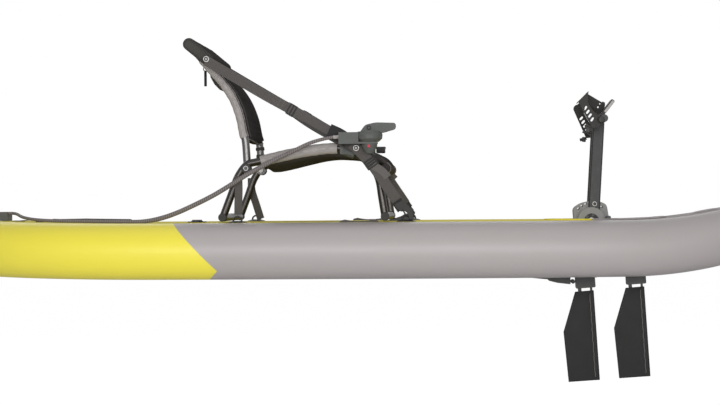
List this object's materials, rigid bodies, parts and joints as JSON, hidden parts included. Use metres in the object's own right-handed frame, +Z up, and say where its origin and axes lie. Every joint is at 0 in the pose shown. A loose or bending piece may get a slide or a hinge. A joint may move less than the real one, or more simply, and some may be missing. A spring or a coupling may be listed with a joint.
{
  "type": "pedal kayak",
  "caption": "Inflatable kayak with flat deck, framed reclining seat, hand steering lever, kick-up rudder and a pedal drive whose cranks sweep two fins under the hull.",
  "frame": {"origin": "centre of the flat hull bottom amidships", "axes": "+X towards the bow, +Y to port, +Z up"},
  "size_m": [2.9066, 0.9122, 1.1438],
  "materials": {
    "hull_fabric": "semi-gloss coated drop-stitch fabric",
    "dark_plastic": "moulded, satin",
    "drum_plastic": "moulded, satin",
    "arm_plastic": "satin coating",
    "metal": "brushed",
    "webbing": "woven webbing",
    "fin_rubber": "smooth",
    "seat_fabric": "woven mesh",
    "black_plastic": "glossy",
    "conduit_cover": "ribbed sleeve"
  },
  "bodies": {
    "kayak": {"hull": "hull_fabric", "drive_well": "dark_plastic", "inflation_valve": "black_plastic", "front_tie_down_right": "black_plastic", "front_tie_down_left": "black_plastic", "rear_tie_down_right": "black_plastic", "rear_tie_down_left": "black_plastic", "side_handle_right": "webbing", "side_handle_left": "webbing", "bow_handle": "webbing", "stern_handle": "webbing", "rear_bungee": "webbing", "seat_rear_bar": "metal", "seat_front_bar": "metal", "seat_side_tube_right": "metal", "seat_side_tube_left": "metal", "pivot_bolt_right": "metal", "pivot_bolt_left": "metal", "seat_cushion": "seat_fabric", "side_strap_right": "webbing", "side_strap_left": "webbing", "front_strap_right": "webbing", "front_strap_left": "webbing", "rear_strap_right": "webbing", "rear_strap_left": "webbing", "steering_bracket": "dark_plastic", "accessory_mount_left": "dark_plastic", "steering_conduit": "conduit_cover", "steering_lines": "conduit_cover", "stern_bracket": "dark_plastic", "rudder_pintle": "metal", "drive_spine": "dark_plastic", "crank_shaft": "metal", "mast_axle": "metal", "front_chain": "metal", "rear_chain": "metal"},
    "back": {"back_frame": "metal", "back_cushion": "seat_fabric", "back_top_roll": "black_plastic", "back_pocket": "seat_fabric"},
    "zipper_pull": {"zipper_pull": "black_plastic"},
    "left_crank": {"left_drum": "drum_plastic"},
    "right_crank": {"right_drum": "drum_plastic"},
    "left_arm": {"left_crank_arm": "arm_plastic"},
    "right_arm": {"right_crank_arm": "arm_plastic"},
    "left_pedal": {"left_pedal": "dark_plastic", "left_foot_strap": "dark_plastic"},
    "right_pedal": {"right_pedal": "dark_plastic", "right_foot_strap": "dark_plastic"},
    "front_fin": {"front_mast_hub": "dark_plastic", "front_fin": "fin_rubber"},
    "rear_fin": {"rear_mast_hub": "dark_plastic", "rear_fin": "fin_rubber"},
    "steering_handle": {"steering_handle": "dark_plastic"},
    "rudder_head": {"rudder_head": "dark_plastic", "rudder_bolt": "metal"},
    "rudder_blade": {"rudder_blade": "black_plastic"},
    "valve_cap": {"valve_cap": "black_plastic"},
    "right_latch_cam": {"right_latch_cam": "dark_plastic"},
    "left_latch_cam": {"left_latch_cam": "dark_plastic"}
  },
  "joints": [
    {"name": "back_recline", "type": "hinge", "parent": "kayak", "child": "back", "pos_m": [-0.412, 0, 0.356], "axis": [0, 1, 0], "range_deg": [-15, 25], "deforming": ["side_strap_right", "side_strap_left"]},
    {"name": "zipper_pull_swing", "type": "hinge", "parent": "back", "child": "zipper_pull", "pos_m": [-0.56268, 0, 0.69016], "axis": [0, 1, 0], "range_deg": [-20, 20]},
    {"name": "left_crank", "type": "hinge", "parent": "kayak", "child": "left_crank", "pos_m": [0.713, 0, 0.176], "axis": [0, 1, 0], "range_deg": [-20, 20]},
    {"name": "right_crank", "type": "hinge", "parent": "kayak", "child": "right_crank", "pos_m": [0.713, 0, 0.176], "axis": [0, 1, 0], "range_deg": [-20, 20]},
    {"name": "left_reach", "type": "hinge", "parent": "left_crank", "child": "left_arm", "pos_m": [0.713, 0, 0.176], "axis": [0, 1, 0], "range_deg": [-41.1, 27.4]},
    {"name": "right_reach", "type": "hinge", "parent": "right_crank", "child": "right_arm", "pos_m": [0.713, 0, 0.176], "axis": [0, 1, 0], "range_deg": [-41.1, 27.4]},
    {"name": "left_pedal_tilt", "type": "hinge", "parent": "left_arm", "child": "left_pedal", "pos_m": [0.74905, 0, 0.50992], "axis": [0, 1, 0], "range_deg": [-35, 35]},
    {"name": "right_pedal_tilt", "type": "hinge", "parent": "right_arm", "child": "right_pedal", "pos_m": [0.74905, 0, 0.50992], "axis": [0, 1, 0], "range_deg": [-35, 35]},
    {"name": "front_fin_sweep", "type": "hinge", "parent": "kayak", "child": "front_fin", "pos_m": [0.72508, 0, 0.00743], "axis": [0.9974, 0, 0.0715], "range_deg": [-72, 72]},
    {"name": "rear_fin_sweep", "type": "hinge", "parent": "kayak", "child": "rear_fin", "pos_m": [0.72508, 0, 0.00743], "axis": [0.9974, 0, 0.0715], "range_deg": [-72, 72]},
    {"name": "steering_turn", "type": "hinge", "parent": "kayak", "child": "steering_handle", "pos_m": [-0.008, -0.29, 0.437], "axis": [0, 0, 1], "range_deg": [-45, 45]},
    {"name": "rudder_steer", "type": "hinge", "parent": "kayak", "child": "rudder_head", "pos_m": [-1.402, 0, 0.05], "axis": [0, 0, 1], "range_deg": [-36, 36], "deforming": ["steering_lines"]},
    {"name": "rudder_kick", "type": "hinge", "parent": "rudder_head", "child": "rudder_blade", "pos_m": [-1.452, 0, 0.062], "axis": [0, 1, 0], "range_deg": [0, 100]},
    {"name": "valve_cap_turn", "type": "hinge", "parent": "kayak", "child": "valve_cap", "pos_m": [-0.6, -0.06, 0.18], "axis": [0, 0, 1], "range_deg": [0, 90]},
    {"name": "right_latch", "type": "hinge", "parent": "kayak", "child": "right_latch_cam", "pos_m": [0.766, -0.082, 0.184], "axis": [0, 0, 1], "range_deg": [0, 90]},
    {"name": "left_latch", "type": "hinge", "parent": "kayak", "child": "left_latch_cam", "pos_m": [0.766, 0.082, 0.184], "axis": [0, 0, 1], "range_deg": [-90, 0]}
  ],
  "couplings": [
    {"joint": "right_crank", "follows": "left_crank", "ratio": -1},
    {"joint": "front_fin_sweep", "follows": "left_crank", "ratio": -3},
    {"joint": "rear_fin_sweep", "follows": "left_crank", "ratio": 3},
    {"joint": "rudder_steer", "follows": "steering_turn", "ratio": -0.8}
  ]
}
